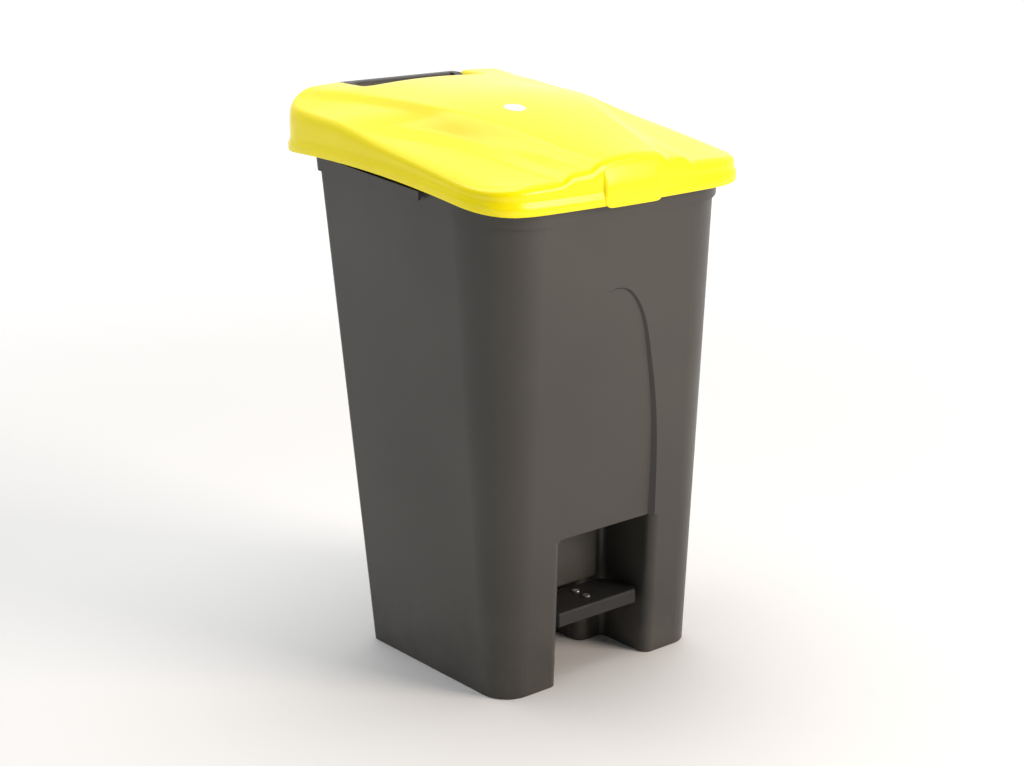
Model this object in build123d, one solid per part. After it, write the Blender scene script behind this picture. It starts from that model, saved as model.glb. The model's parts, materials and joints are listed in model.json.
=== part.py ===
from build123d import *
import math
import os

# Wheeled pedal bin of about 80 litres: tapered dark container, three-level yellow lid, foot pedal.
# Millimetres. +Z up, front towards -Y. The origin is on the floor under the middle of the whole bin.

# ---- container ----
WALL = 4.0
FLOOR_HALF_W, FLOOR_FRONT, FLOOR_REAR = 164.0, -188.0, 82.0
TOP_Z = 660.0
TOP_HALF_W, TOP_FRONT, TOP_REAR = 199.5, -216.0, 134.0
FRONT_R_FLOOR, FRONT_R_TOP = 37.0, 80.0
REAR_R = 9.0
RIM_FRONT_Z, RIM_MID_Z, RIM_REAR_Z = 623.0, 646.0, 653.0
RIM_BAND = 32.0
RIM_PROUD = 4.0
TANK_FLOOR_Z = 100.0
GRIP_HALF_L, GRIP_Y, GRIP_PROUD, GRIP_DEEP = 78.0, -14.0, 12.5, 10.5
GRIP_Z, GRIP_TILT = 633.5, 4.3

# ---- pedal niche and lever tunnel ----
NICHE_HALF_W, NICHE_TOP, NICHE_BACK = 75.0, 193.0, -105.0
BOX_HALF_W, BOX_FRONT = 54.0, -120.0
TUNNEL_HALF_W = 34.0
ARCH_DEPTH_LOW, ARCH_DEPTH_HIGH, ARCH_TOP = 7.0, 3.0, 501.0
ARCH_BEVEL = 40.0
NICHE_ROUND, TUNNEL_ROUND = 12.0, 14.0
ARCH_POINTS = [(74, 190), (67, 351), (54, 421), (41, 466), (24, 491), (0, 501)]

# ---- wheels ----
WHEEL_X, WHEEL_Y, WHEEL_R, WHEEL_W = 97.0, 70.0, 45.0, 28.0
TYRE_THICK = 9.0
AXLE_R = 5.0
WELL_GAP = 4.0

# ---- lid ----
LID_SKIN = 3.0
LID_HALF_W, LID_FRONT, LID_REAR = 208.0, -227.0, 220.0
LID_BEAD = 3.0
LID_BEAD_H = 13.0
LID_BULGE = 5.0
LID_R_FRONT, LID_R_REAR = 55.0, 60.0
LID_EDGE_FRONT_Z, LID_EDGE_MID_Z, LID_EDGE_REAR_Z = 611.0, 637.0, 641.0
NOTCH_HALF_W, NOTCH_Y = 98.0, 163.0
TAB_HALF_W, TAB_PROUD, TAB_LOW_Z = 48.0, 3.0, 604.0
# One row per lid section: y, crown z, inner ridge (top x, foot x, top z), outer ridge (same), edge z.
LID_SECTIONS = [
    (-245, 663, (43, 55, 659), (87, 99, 651), 642),
    (-185, 675, (60, 77, 671), (100, 116, 659), 645),
    (-130, 688, (72, 87, 684), (107, 127, 668), 654),
    (-75, 701, (88, 101, 696), (117, 139, 676), 663),
    (-15, 712, (108, 121, 706), (134, 166, 682), 671),
    (35, 716.5, (112, 125, 708), (168, 205, 687), 678),
    (80, 718.5, (116, 131, 708.5), (206, 240, 688), 686),
    (130, 720, (126, 144, 710), (222, 252, 688), 688),
    (175, 719.5, (146, 168, 712), (228, 255, 690), 690),
    (230, 716, (164, 184, 714), (232, 258, 694), 694),
]
RIDGE_DROP_1, RIDGE_DROP_2 = 8.5, 8.0

# ---- hinge and rear handle ----
HINGE_Y, HINGE_Z = 195.0, 690.0
PIN_R = 4.0
RUN = 0.05
TOWER_IN, TOWER_OUT = 81.0, 93.0
LUG_IN, LUG_OUT = 98.0, 130.0
HANDLE_REAR, HANDLE_TOP, HANDLE_BAR = 235.0, 713.0, 20.0
SHELF_Z, SHELF_T = 596.0, 5.0

# ---- pedal linkage ----
PIVOT_Y, PIVOT_Z = -15.0, 45.0
PEDAL_HALF_W, PEDAL_FRONT, PEDAL_BACK, PEDAL_TOP = 69.5, -179.0, -121.0, 90.0
PEDAL_LIP, PEDAL_T = 18.0, 5.0
LEVER_HALF_W, LEVER_T = 11.0, 7.0
ROD_R = 4.0
ROD_LOW = (97.0, 34.0)
ROD_HIGH = (175.0, 673.0)
SLOT_PLAY = 2.2
SLOT_TRAVEL, SLOT_MIDDLE = 9.5, 22.0
LUG_X0, LUG_X1 = -13.0, -6.0
GUIDE_HEIGHTS = (230.0, 430.0)


def at(z, low, high):
    """Value of a tapered dimension at height z."""
    return low + (high - low) * z / TOP_Z


def section(z, inset=0.0, grow=0.0):
    """Rounded outline of the container at height z, moved inwards by inset and outwards by grow."""
    d = inset - grow
    half = at(z, FLOOR_HALF_W, TOP_HALF_W) - d
    front = at(z, FLOOR_FRONT, TOP_FRONT) + d
    rear = at(z, FLOOR_REAR, TOP_REAR) - d
    r_front = at(z, FRONT_R_FLOOR, FRONT_R_TOP) - d
    r_rear = max(REAR_R - d, 2.0)
    return rounded_face(half, front, rear, r_front, r_rear, z)


def rounded_face(half, front, rear, r_front, r_rear, z, bulge=0.0):
    """Face at height z: a rectangle with its own corner radii at the front and rear, and a bowed front."""
    side = Line((half, front + r_front), (half, rear - r_rear))
    rear_edge = Line((half - r_rear, rear), (-half + r_rear, rear))
    front_edge = Line((-half + r_front, front), (half - r_front, front))
    if bulge:
        front_edge = ThreePointArc((-half + r_front, front), (0, front - bulge), (half - r_front, front))
    front_corner = corner_arc(half - r_front, front + r_front, r_front, -1)
    rear_corner = corner_arc(half - r_rear, rear - r_rear, r_rear, 1)
    right = [front_corner, side, rear_corner]
    left = [mirror(edge, Plane.YZ) for edge in right]
    return Pos(0, 0, z) * make_face(Curve() + [front_edge, rear_edge] + right + left)


def corner_arc(x, y, r, towards):
    """Quarter circle about (x, y) on the right side, in front of it for -1 or behind it for 1."""
    k = r * math.sqrt(0.5)
    return ThreePointArc((x, y + towards * r), (x + k, y + towards * k), (x + r, y))


def tapered(z0, z1, inset=0.0, grow=0.0):
    """Solid of the container's taper between two heights."""
    return loft([section(z0, inset, grow), section(z1, inset, grow)])


def block(x0, x1, y0, y1, z0, z1):
    """Box from its corners."""
    centre = Pos((x0 + x1) / 2, (y0 + y1) / 2, (z0 + z1) / 2)
    return centre * Box(x1 - x0, y1 - y0, z1 - z0)


def both_sides(shape):
    """The shape and its mirror image across the middle plane."""
    return shape + mirror(shape, Plane.YZ)


def side_profile(points, half):
    """Solid spanning the width, from a YZ outline whose first three points are an arc."""
    arc = ThreePointArc(*[(0, y, z) for y, z in points[:3]])
    rest = Polyline(*[(0, y, z) for y, z in points[2:]], (0, points[0][0], points[0][1]))
    face = make_face(Curve() + [arc, rest])
    return extrude(face, half, both=True)


def rod_x(x0, x1, y, z, r):
    """Cylinder along X between x0 and x1."""
    return Pos((x0 + x1) / 2, y, z) * Rot(0, 90, 0) * Cylinder(r, x1 - x0)


def arch_face():
    """Outline of the recessed arch panel on the front, in the XZ plane."""
    right = Spline(*ARCH_POINTS, tangents=[(0, 1), (-1, 0)])
    left = Spline(*[(-x, z) for x, z in ARCH_POINTS], tangents=[(0, 1), (1, 0)])
    low_x, low_z = ARCH_POINTS[0]
    foot = Polyline((-low_x, low_z), (-low_x, 150), (low_x, 150), (low_x, low_z))
    return make_face(Curve() + [right, left, foot])


def arch_recess(deeper=0.0):
    """Bevelled solid that sinks the arch panel into the front wall, moved inwards by deeper."""
    depth_low = at(NICHE_TOP, FLOOR_FRONT, TOP_FRONT) + ARCH_DEPTH_LOW + deeper
    depth_high = at(ARCH_TOP, FLOOR_FRONT, TOP_FRONT) + ARCH_DEPTH_HIGH + deeper
    tilt = math.degrees(math.atan2(depth_low - depth_high, ARCH_TOP - NICHE_TOP))
    panel = extrude(arch_face(), 20, taper=-ARCH_BEVEL)
    place = Pos(0, depth_low, NICHE_TOP) * Rot(90 + tilt, 0, 0) * Pos(0, -NICHE_TOP, 0)
    return place * panel


def rim_top(lift=0.0):
    """Everything under the curved top edge of the container, or under that edge moved up by lift."""
    front, middle, rear = RIM_FRONT_Z - 6 + lift, RIM_MID_Z + lift, RIM_REAR_Z + lift
    return side_profile([(-260, front), (-40, middle), (260, rear), (260, -5), (-260, -5)], 300)


def make_body():
    outer = tapered(0, TOP_Z)
    band = tapered(540, TOP_Z, grow=RIM_PROUD) - rim_top(-RIM_BAND)
    outer = outer + band
    tank = tapered(TANK_FLOOR_Z, TOP_Z + 1, inset=WALL)
    niche_shell = block(-NICHE_HALF_W - WALL, NICHE_HALF_W + WALL, -300, NICHE_BACK + WALL,
                        -1, NICHE_TOP + WALL)
    tank_box = block(-BOX_HALF_W + WALL, BOX_HALF_W - WALL, BOX_FRONT + WALL, NICHE_BACK + WALL + 1,
                     TANK_FLOOR_Z, NICHE_TOP + WALL)
    tank = (tank - niche_shell) + tank_box
    tank = tank - arch_recess(WALL)
    under = tapered(-1, TANK_FLOOR_Z - WALL, inset=WALL) - niche_shell
    under = under - both_sides(block(TUNNEL_HALF_W, TUNNEL_HALF_W + WALL, NICHE_BACK, 90, -2, TANK_FLOOR_Z))
    body = outer - tank - under
    body = body + both_sides(block(TUNNEL_HALF_W, TUNNEL_HALF_W + TUNNEL_ROUND + 2,
                                   NICHE_BACK, NICHE_BACK + TUNNEL_ROUND + 2, 0, TANK_FLOOR_Z))
    niche = loft([flared(NICHE_HALF_W, at(z, FLOOR_FRONT, TOP_FRONT), NICHE_BACK, NICHE_ROUND, z)
                  for z in (0, NICHE_TOP)])
    niche = niche - block(-BOX_HALF_W, BOX_HALF_W, BOX_FRONT, 0, TANK_FLOOR_Z - WALL, NICHE_TOP + 1)
    tunnel = extrude(flared(TUNNEL_HALF_W, NICHE_BACK, 120, TUNNEL_ROUND, 0), TANK_FLOOR_Z - WALL - 2)
    body = body - niche - tunnel
    body = body + axle_brackets() - wheel_wells()
    body = body - arch_recess()
    body = round_niche(body) & rim_top()
    body = body + both_sides(side_grip())
    pivot_holes = rod_x(-60, 60, PIVOT_Y, PIVOT_Z, PIN_R + RUN)
    axle_holes = both_sides(rod_x(60, 130, WHEEL_Y, WHEEL_R, AXLE_R + RUN))
    return body - pivot_holes - axle_holes


def flared(half, mouth, back, r, z):
    """Outline seen from above of a recess that widens with radius r at its mouth, at height z."""
    k = r * (1 - math.sqrt(0.5))
    right = ThreePointArc((half, mouth + r), (half + k, mouth + k), (half + r, mouth))
    left = ThreePointArc((-half - r, mouth), (-half - k, mouth + k), (-half, mouth + r))
    outside = Polyline((half + r, mouth), (half + r, mouth - 60), (-half - r, mouth - 60), (-half - r, mouth))
    inside = Polyline((-half, mouth + r), (-half, back), (half, back), (half, mouth + r))
    return Pos(0, 0, z) * make_face(Curve() + [right, outside, left, inside])


def round_niche(body):
    """Moulded radii on the upright edges inside the niche."""
    corners = ((NICHE_HALF_W, NICHE_BACK, 8.0), (BOX_HALF_W, BOX_FRONT, 7.0))
    for x, y, radius in corners:
        upright = [e for e in body.edges()
                   if abs(abs(e.center().X) - x) < 0.5 and abs(e.center().Y - y) < 0.5 and e.length > 20]
        body = fillet(upright, radius)
    return body


def axle_brackets():
    """Plates on both sides of each wheel, hanging from the underside of the tank."""
    half = WHEEL_W / 2 + WELL_GAP
    plates = block(WHEEL_X - half - WALL, WHEEL_X - half, WHEEL_Y - 22, 80, 22, TANK_FLOOR_Z - 1)
    plates = plates + block(WHEEL_X + half, WHEEL_X + half + WALL, WHEEL_Y - 22, 80, 22, TANK_FLOOR_Z - 1)
    return both_sides(plates)


def wheel_wells():
    """Openings in the rear wall for the wheels."""
    half = WHEEL_W / 2 + WELL_GAP
    return both_sides(block(WHEEL_X - half, WHEEL_X + half, WHEEL_Y - WHEEL_R - 5, 160, -1,
                            TANK_FLOOR_Z - WALL - 1))


def side_grip():
    """Moulded finger ledge under the lid on one side, following the rim."""
    x_wall = at(620, FLOOR_HALF_W, TOP_HALF_W)
    ledge = block(x_wall - 2, x_wall + GRIP_PROUD, GRIP_Y - GRIP_HALF_L, GRIP_Y + GRIP_HALF_L, -4, 0)
    lip = block(x_wall + GRIP_PROUD - WALL, x_wall + GRIP_PROUD, GRIP_Y - GRIP_HALF_L,
                GRIP_Y + GRIP_HALF_L, -GRIP_DEEP, 0)
    tilt = Pos(0, GRIP_Y, GRIP_Z) * Rot(GRIP_TILT, 0, 0) * Pos(0, -GRIP_Y, 0)
    return tilt * (ledge + lip)


def lid_section(row, drop=0.0):
    """Closed face of the lid's height at one y, from the lower side up to the three-level top."""
    y, crown, (x1, f1, z1), (x2, f2, z2), edge = row
    far = 262.0
    foot_z = z2 - RIDGE_DROP_2
    slope = (edge - foot_z) / max(LID_HALF_W - f2, 40.0)
    right = [(x1, z1), (f1, z1 - RIDGE_DROP_1), (x2, z2), (f2, foot_z), (far, foot_z + slope * (far - f2))]
    left = [(-x, z) for x, z in reversed(right)]
    top = [(x, y, z - drop) for x, z in left + [(0, crown)] + right]
    base = 560.0
    return make_face(Polyline(*top, (far, y, base), (-far, y, base), top[0]))


def lid_bulk(drop=0.0):
    """Solid under the lid's top surface."""
    return loft([lid_section(row, drop) for row in LID_SECTIONS])


def lid_plan(inset):
    """Upright prism of the lid's outline seen from above."""
    face = rounded_face(LID_HALF_W - inset, LID_FRONT + inset, LID_REAR - inset,
                        LID_R_FRONT - inset, LID_R_REAR - inset, 590, LID_BULGE)
    return extrude(face, 150)


def above_edge(lift=0.0):
    """Everything above the lid's curved lower edge."""
    front, middle, rear = LID_EDGE_FRONT_Z - 4 + lift, LID_EDGE_MID_Z - 2 + lift, LID_EDGE_REAR_Z + lift
    return side_profile([(-260, front), (-40, middle), (260, rear), (260, 800), (-260, 800)], 300)


def make_lid():
    notch = block(-NOTCH_HALF_W, NOTCH_HALF_W, NOTCH_Y, 300, 500, 800)
    notch_in = block(-NOTCH_HALF_W - LID_SKIN, NOTCH_HALF_W + LID_SKIN, NOTCH_Y - LID_SKIN, 300,
                     500, 800)
    bead = lid_plan(-LID_BEAD) - above_edge(LID_BEAD_H)
    tab = block(-TAB_HALF_W, TAB_HALF_W, LID_FRONT - LID_BULGE - TAB_PROUD, LID_FRONT + 10, TAB_LOW_Z, 700)
    outer = ((lid_plan(0) + bead + tab) & lid_bulk()) - notch
    inner = (lid_plan(LID_SKIN) & lid_bulk(LID_SKIN)) - notch_in
    lid = (outer - inner) & above_edge()
    tab_low = block(-TAB_HALF_W, TAB_HALF_W, LID_FRONT - LID_BULGE - TAB_PROUD, LID_FRONT, TAB_LOW_Z, 640)
    lid = lid + tab_low
    lid = lid + both_sides(hinge_lug()) + crank_lug()
    return lid - both_sides(rod_x(LUG_IN - 5, LUG_OUT + 30, HINGE_Y, HINGE_Z, PIN_R + RUN))


def hinge_lug():
    """Boss inside one rear shoulder of the lid, turning on the hinge pin."""
    boss = rod_x(LUG_IN + 1, LUG_OUT, HINGE_Y, HINGE_Z, 7.0)
    rib = block(LUG_OUT - 5, LUG_OUT, NOTCH_Y, HINGE_Y, HINGE_Z - 8, HINGE_Z + 9)
    web = block(LUG_IN + 1, LUG_OUT, HINGE_Y - 14, HINGE_Y - 8, HINGE_Z - 8, HINGE_Z + 14)
    return boss + (rib + web) & block(LUG_IN + 1, LUG_OUT, 150, HINGE_Y + 4, 600, HINGE_Z + 13)


def crank_lug():
    """Slotted plate behind the lid's rear wall that the push rod lifts."""
    plate = block(LUG_X0, LUG_X1, NOTCH_Y - 2, HINGE_Y - 4, ROD_HIGH[1] - 14, HINGE_Z + 12)
    width = 2 * (ROD_R + SLOT_PLAY)
    slot = extrude(Plane.YZ * SlotOverall(SLOT_TRAVEL + width, width), 30, both=True)
    turn = math.degrees(math.atan2(HINGE_Z - ROD_HIGH[1], HINGE_Y - ROD_HIGH[0]))
    return plate - Pos(0, HINGE_Y, HINGE_Z) * Rot(turn, 0, 0) * Pos(0, -SLOT_MIDDLE, 0) * slot


def make_rear_handle():
    """Moulding on the rear wall: shelf, gussets, two hinge towers and the carrying bar."""
    y_wall = at(SHELF_Z + SHELF_T, FLOOR_REAR, TOP_REAR) + 0.2
    shelf = block(-124, 124, y_wall, HANDLE_REAR - 3, SHELF_Z, SHELF_Z + SHELF_T)
    shelf = shelf - block(-12, 12, 146, 188, SHELF_Z - 1, SHELF_Z + SHELF_T + 1)
    back = mounting_plate()
    towers = both_sides(tower())
    gussets = both_sides(gusset(TOWER_IN, TOWER_IN + WALL)) + both_sides(gusset(40, 40 + WALL))
    bar = handle_bar()
    return shelf + back + towers + gussets + bar


def mounting_plate():
    """Mounting plate lying on the container's rear wall."""
    low, high = SHELF_Z - 90, SHELF_Z + SHELF_T
    y0, y1 = at(low, FLOOR_REAR, TOP_REAR) + 0.2, at(high, FLOOR_REAR, TOP_REAR) + 0.2
    outline = Polyline((0, y0, low), (0, y0 + WALL, low), (0, y1 + WALL, high), (0, y1, high), (0, y0, low))
    plate = extrude(make_face(outline), 124, both=True)
    return plate - both_sides(screw_shaft(0.05))


def tower():
    """Upright arm on one side, which carries the hinge pin and one end of the bar."""
    arm = Polyline((0, 176, SHELF_Z), (0, HANDLE_REAR, SHELF_Z), (0, HANDLE_REAR, HANDLE_TOP - 8),
                   (0, HANDLE_REAR - 6, HANDLE_TOP), (0, 212, HANDLE_TOP), (0, 186, HINGE_Z + 9),
                   (0, 176, 660), (0, 176, SHELF_Z))
    plate = Pos(TOWER_IN, 0, 0) * extrude(make_face(arm), TOWER_OUT - TOWER_IN, dir=(1, 0, 0))
    return plate - rod_x(TOWER_IN - 1, TOWER_OUT + 1, HINGE_Y, HINGE_Z, PIN_R + RUN)


def gusset(x0, x1):
    """Triangular rib between the mounting plate and the shelf."""
    y_low, y_high = at(SHELF_Z - 88, FLOOR_REAR, TOP_REAR) + 2, at(SHELF_Z, FLOOR_REAR, TOP_REAR) + 2
    outline = Polyline((0, y_low, SHELF_Z - 88), (0, HANDLE_REAR - 6, SHELF_Z), (0, y_high, SHELF_Z),
                       (0, y_low, SHELF_Z - 88))
    return Pos(x0, 0, 0) * extrude(make_face(outline), x1 - x0, dir=(1, 0, 0))


def handle_bar():
    """Rounded carrying bar between the towers."""
    bar = block(-TOWER_OUT + 1, TOWER_OUT - 1, HANDLE_REAR - HANDLE_BAR, HANDLE_REAR,
                HANDLE_TOP - HANDLE_BAR, HANDLE_TOP)
    return fillet(bar.edges().filter_by(Axis.X), 6.0)


def screw_places():
    """Left-right, height of the screws that hold the handle moulding, on one side."""
    return [(70.0, SHELF_Z - 22.0), (70.0, SHELF_Z - 70.0)]


def screw_shaft(extra=0.0):
    shafts = Part()
    for x, z in screw_places():
        y = at(z, FLOOR_REAR, TOP_REAR)
        shafts = shafts + Pos(x, y - 3 + 10, z) * Rot(90, 0, 0) * Cylinder(2.5 + extra, 20)
    return shafts


def make_handle_screws():
    """Four pan-head screws through the mounting plate."""
    screws = []
    for side in (-1, 1):
        for x, z in screw_places():
            y = at(z, FLOOR_REAR, TOP_REAR) + 0.3
            shaft = Pos(side * x, y + 2.8, z) * Rot(90, 0, 0) * Cylinder(2.5, 4.8)
            head = Pos(side * x, y + WALL + 1.9, z) * Rot(90, 0, 0) * Cylinder(5.0, 3.0)
            screws.append(shaft + head)
    return screws


def make_hinge_pin(side):
    pin = rod_x(TOWER_IN - 3, LUG_OUT + 5, HINGE_Y, HINGE_Z, PIN_R)
    head = rod_x(TOWER_IN - 4, TOWER_IN - 0.5, HINGE_Y, HINGE_Z, 7.5)
    pin = pin + head - rod_x(LUG_OUT + 1.6, LUG_OUT + 3.4, HINGE_Y, HINGE_Z, 8) \
        + rod_x(LUG_OUT + 1, LUG_OUT + 4, HINGE_Y, HINGE_Z, 3.0)
    return pin if side > 0 else mirror(pin, Plane.YZ)


def ring(x0, x1, y, z, r_out, r_in):
    return rod_x(x0, x1, y, z, r_out) - rod_x(x0 - 1, x1 + 1, y, z, r_in)


def make_hinge_pin_clips():
    clip = ring(LUG_OUT + 1.8, LUG_OUT + 3.2, HINGE_Y, HINGE_Z, 6.4, 3.05)
    return [clip, mirror(clip, Plane.YZ)]


def make_lid_label():
    """Blank round sticker on the crown of the lid."""
    disc = Pos(-31, -52, 700) * Cylinder(14, 60)
    return disc & (lid_bulk(-0.35) - lid_bulk(-0.05))


def make_pedal():
    """Foot plate with a deep front lip, side ribs and chamfered rear corners."""
    outline = Polyline((-PEDAL_HALF_W, PEDAL_FRONT + 6), (-PEDAL_HALF_W + 5, PEDAL_FRONT),
                       (PEDAL_HALF_W - 5, PEDAL_FRONT), (PEDAL_HALF_W, PEDAL_FRONT + 6),
                       (PEDAL_HALF_W, PEDAL_BACK - 24), (PEDAL_HALF_W - 17, PEDAL_BACK),
                       (-PEDAL_HALF_W + 17, PEDAL_BACK), (-PEDAL_HALF_W, PEDAL_BACK - 24),
                       (-PEDAL_HALF_W, PEDAL_FRONT + 6))
    solid = Pos(0, 0, PEDAL_TOP - PEDAL_LIP) * extrude(make_face(outline), PEDAL_LIP)
    solid = fillet(solid.edges().filter_by(lambda e: e.center().Z > PEDAL_TOP - 0.1
                                           and e.center().Y < PEDAL_FRONT + 10), 3.0)
    hollow = block(-PEDAL_HALF_W + 4, PEDAL_HALF_W - 4, PEDAL_FRONT + 5, PEDAL_BACK - 24,
                   0, PEDAL_TOP - PEDAL_T)
    hollow = hollow + block(-PEDAL_HALF_W + 20, PEDAL_HALF_W - 20, PEDAL_BACK - 25, PEDAL_BACK + 5,
                            0, PEDAL_TOP - PEDAL_T)
    pedal = solid - hollow
    for x in (-42, -20, 20, 42):
        pedal = pedal + block(x - 1.5, x + 1.5, PEDAL_FRONT + 4, PEDAL_BACK - 2,
                              PEDAL_TOP - 14, PEDAL_TOP - PEDAL_T + 1)
    for y in (PEDAL_FRONT + 22, PEDAL_BACK - 16):
        pedal = pedal - Pos(0, y, PEDAL_TOP) * Cylinder(2.55, 40)
    return pedal


def make_pedal_lever():
    """Flat steel lever from under the foot plate to the push rod, with a boss at its pivot."""
    top = PEDAL_TOP - PEDAL_T - 0.1
    line = [(PEDAL_FRONT + 8, top), (PEDAL_BACK + 10, top), (PIVOT_Y - 22, PIVOT_Z + 3.5),
            (ROD_LOW[0] - 22, ROD_LOW[1] + 3.5), (ROD_LOW[0] + 10, ROD_LOW[1] + 8)]
    under = [(ROD_LOW[0] + 10, ROD_LOW[1] - 8), (ROD_LOW[0] - 24, ROD_LOW[1] - 5.5),
             (PIVOT_Y - 24, PIVOT_Z - 5.5), (PEDAL_BACK + 6, top - LEVER_T), (PEDAL_FRONT + 8, top - LEVER_T)]
    outline = Polyline(*[(0, y, z) for y, z in line + under], (0, line[0][0], line[0][1]))
    bar = extrude(make_face(outline), LEVER_HALF_W, both=True)
    boss = rod_x(-26, 26, PIVOT_Y, PIVOT_Z, 9.0)
    eye = rod_x(-LEVER_HALF_W, LEVER_HALF_W, ROD_LOW[0] + 2, ROD_LOW[1], 10.5)
    width = 2 * (ROD_R + SLOT_PLAY)
    slot = extrude(Plane.YZ * SlotOverall(width + 5, width), 40, both=True)
    slot = Pos(0, ROD_LOW[0] + 2.4, ROD_LOW[1]) * slot
    fork = block(-5.5, 5.5, ROD_LOW[0] - 18, ROD_LOW[0] + 25, 0, 80)
    lever = bar + boss + eye - rod_x(-40, 40, PIVOT_Y, PIVOT_Z, PIN_R + RUN) - slot - fork
    for y in (PEDAL_FRONT + 22, PEDAL_BACK - 16):
        lever = lever - Pos(0, y, PEDAL_TOP) * Cylinder(2.55, 40)
    return lever


def make_pedal_screws():
    """Two countersunk-style screws that join the foot plate to the lever."""
    screws = []
    for y in (PEDAL_FRONT + 22, PEDAL_BACK - 16):
        shaft = Pos(0, y, PEDAL_TOP - 7.5) * Cylinder(2.5, 16)
        head = Pos(0, y, PEDAL_TOP + 1.15) * Cylinder(5.0, 2.2)
        screws.append(shaft + fillet(head.edges().group_by(Axis.Z)[-1], 0.9))
    return screws


def make_pivot_pin():
    reach = TUNNEL_HALF_W + WALL
    pin = rod_x(-reach - 1, reach + 6, PIVOT_Y, PIVOT_Z, PIN_R)
    head = rod_x(-reach - 3.6, -reach - 0.3, PIVOT_Y, PIVOT_Z, 7.0)
    groove = ring(reach + 1.6, reach + 3.4, PIVOT_Y, PIVOT_Z, 8.0, 3.0)
    return pin + head - groove


def make_pivot_clip():
    reach = TUNNEL_HALF_W + WALL
    return ring(reach + 1.8, reach + 3.2, PIVOT_Y, PIVOT_Z, 7.0, 3.05)


def make_push_rod():
    """Straight steel rod with a short crosswise journal at each end."""
    rise, run = ROD_HIGH[1] - ROD_LOW[1], ROD_HIGH[0] - ROD_LOW[0]
    length = math.hypot(rise, run)
    lean = math.degrees(math.atan2(run, rise))
    rod = Pos(0, *ROD_LOW) * Rot(-lean, 0, 0) * Pos(0, 0, length / 2) * Cylinder(ROD_R, length)
    low = rod_x(-LEVER_HALF_W - 6, LEVER_HALF_W + 6, *ROD_LOW, ROD_R)
    low = low - ring(LEVER_HALF_W + 2.4, LEVER_HALF_W + 4.2, *ROD_LOW, 8, 3.0)
    low = low - ring(-LEVER_HALF_W - 4.2, -LEVER_HALF_W - 2.4, *ROD_LOW, 8, 3.0)
    high = rod_x(LUG_X0 - 5, ROD_R, *ROD_HIGH, ROD_R)
    high = high - ring(LUG_X0 - 3.4, LUG_X0 - 1.6, *ROD_HIGH, 8, 3.0)
    return rod + low + high


def make_rod_low_clips():
    clip = ring(LEVER_HALF_W + 2.6, LEVER_HALF_W + 4.0, *ROD_LOW, 7.5, 3.05)
    return [clip, mirror(clip, Plane.YZ)]


def make_rod_high_clip():
    return ring(LUG_X0 - 3.2, LUG_X0 - 1.8, *ROD_HIGH, 7.5, 3.05)


def make_rod_guide(z):
    """Plastic guide on the rear wall with an eye round the push rod."""
    y_wall = at(z, FLOOR_REAR, TOP_REAR) + 0.3
    y_rod = ROD_LOW[0] + (ROD_HIGH[0] - ROD_LOW[0]) * (z - ROD_LOW[1]) / (ROD_HIGH[1] - ROD_LOW[1])
    lean = math.degrees(math.atan2(TOP_REAR - FLOOR_REAR, TOP_Z))
    base = Pos(0, y_wall, z) * Rot(-lean, 0, 0) * block(-24, 24, 0, 4, -11, 11)
    stem = block(-5, 5, y_wall + 2, y_rod - 5, z - 7, z + 7)
    eye = Pos(0, y_rod, z) * Cylinder(8.5, 14)
    rise, run = ROD_HIGH[1] - ROD_LOW[1], ROD_HIGH[0] - ROD_LOW[0]
    bore = Pos(0, y_rod, z) * Rot(-math.degrees(math.atan2(run, rise)), 0, 0) * Cylinder(ROD_R + RUN, 60)
    holes = [Pos(x, y_wall + 2, z) * Rot(90, 0, 0) * Cylinder(2.05, 30) for x in (-17, 17)]
    return base + stem + eye - bore - holes


def make_guide_screws():
    screws = []
    for z in GUIDE_HEIGHTS:
        y = at(z, FLOOR_REAR, TOP_REAR) + 0.3
        for x in (-17, 17):
            shaft = Pos(x, y + 2.6, z) * Rot(90, 0, 0) * Cylinder(2.0, 4.8)
            head = Pos(x, y + 6.2, z) * Rot(90, 0, 0) * Cylinder(3.8, 2.6)
            screws.append(shaft + head)
    return screws


def make_axle(side):
    """Stub axle of one wheel, headed inside and grooved for its cap outside."""
    half = WHEEL_W / 2 + WELL_GAP + WALL
    pin = rod_x(WHEEL_X - half - 1, WHEEL_X + half + 8, WHEEL_Y, WHEEL_R, AXLE_R)
    head = rod_x(WHEEL_X - half - 4, WHEEL_X - half - 0.3, WHEEL_Y, WHEEL_R, 8.0)
    axle = pin + head
    return axle if side > 0 else mirror(axle, Plane.YZ)


def make_axle_cap(side):
    """Push-on cap over the outer end of the stub axle."""
    x0 = WHEEL_X + WHEEL_W / 2 + WELL_GAP + WALL + 0.4
    cap = rod_x(x0, x0 + 10, WHEEL_Y, WHEEL_R, 8.5)
    cap = fillet(cap.edges().group_by(Axis.X)[-1], 2.5)
    cap = cap - rod_x(x0 - 1, x0 + 7.8, WHEEL_Y, WHEEL_R, AXLE_R + RUN)
    return cap if side > 0 else mirror(cap, Plane.YZ)


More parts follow.
